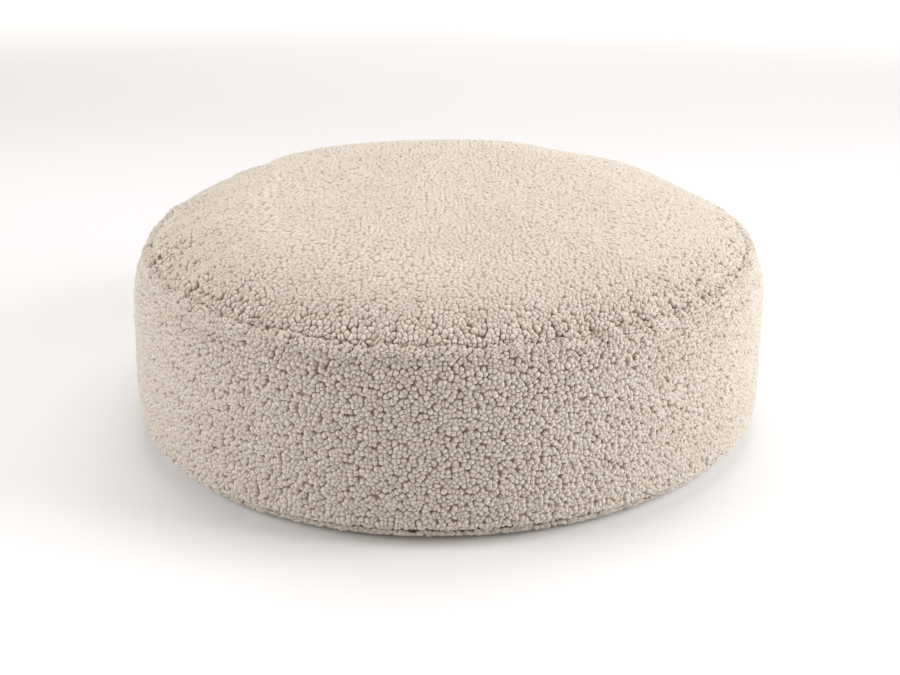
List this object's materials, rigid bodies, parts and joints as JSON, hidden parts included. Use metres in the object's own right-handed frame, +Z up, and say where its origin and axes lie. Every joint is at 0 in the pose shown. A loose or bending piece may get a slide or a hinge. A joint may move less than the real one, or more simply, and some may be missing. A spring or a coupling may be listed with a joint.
{
  "type": "floor cushion",
  "caption": "Round drum-shaped floor cushion with a domed top, in a curled-pile teddy cover that unzips at the back from a lined foam core.",
  "frame": {"origin": "centre of the flat face the cushion rests on", "axes": "+Z up out of the domed top, -Y towards the front of the cushion, +Y towards the zip in the rear of the side band"},
  "size_m": [0.8, 0.8, 0.295],
  "materials": {
    "teddy_fabric": "matte curled pile",
    "sewing_thread": "matte",
    "zip_tape": "matte woven",
    "zip_coil": "satin nylon",
    "zip_metal": "satin nickel",
    "liner_cotton": "matte woven",
    "fibre_wadding": "soft matte",
    "foam": "open cell, matte",
    "label_satin": "satin"
  },
  "bodies": {
    "cushion": {"base_seam_thread": "sewing_thread", "care_label": "label_satin", "cover_base_panel": "teddy_fabric", "cover_front_band": "teddy_fabric", "cover_rear_band_lower": "teddy_fabric", "cover_rear_band_upper": "teddy_fabric", "cover_top_panel": "teddy_fabric", "foam_core": "foam", "liner_base": "liner_cotton", "liner_base_thread": "sewing_thread", "liner_side": "liner_cotton", "liner_top": "liner_cotton", "liner_top_thread": "sewing_thread", "side_seam_thread_left": "sewing_thread", "side_seam_thread_right": "sewing_thread", "top_seam_thread": "sewing_thread", "wadding_base": "fibre_wadding", "wadding_side": "fibre_wadding", "wadding_top": "fibre_wadding", "zip_bottom_stop": "zip_metal", "zip_coil_lower": "zip_coil", "zip_coil_upper": "zip_coil", "zip_stitching_lower": "sewing_thread", "zip_stitching_upper": "sewing_thread", "zip_tape_lower": "zip_tape", "zip_tape_upper": "zip_tape", "zip_top_stop_lower": "zip_metal", "zip_top_stop_upper": "zip_metal"},
    "slider": {"zip_slider": "zip_metal"},
    "pull": {"zip_pull": "zip_metal"}
  },
  "joints": [
    {"name": "zip_slide", "type": "hinge", "parent": "cushion", "child": "slider", "pos_m": [0, 0, 0.06], "axis": [0, 0, 1], "range_deg": [0, 168.5]},
    {"name": "pull_swing", "type": "hinge", "parent": "slider", "child": "pull", "pos_m": [0.39255, 0.04233, 0.06], "axis": [0, 0, -1], "range_deg": [0, 180]}
  ]
}
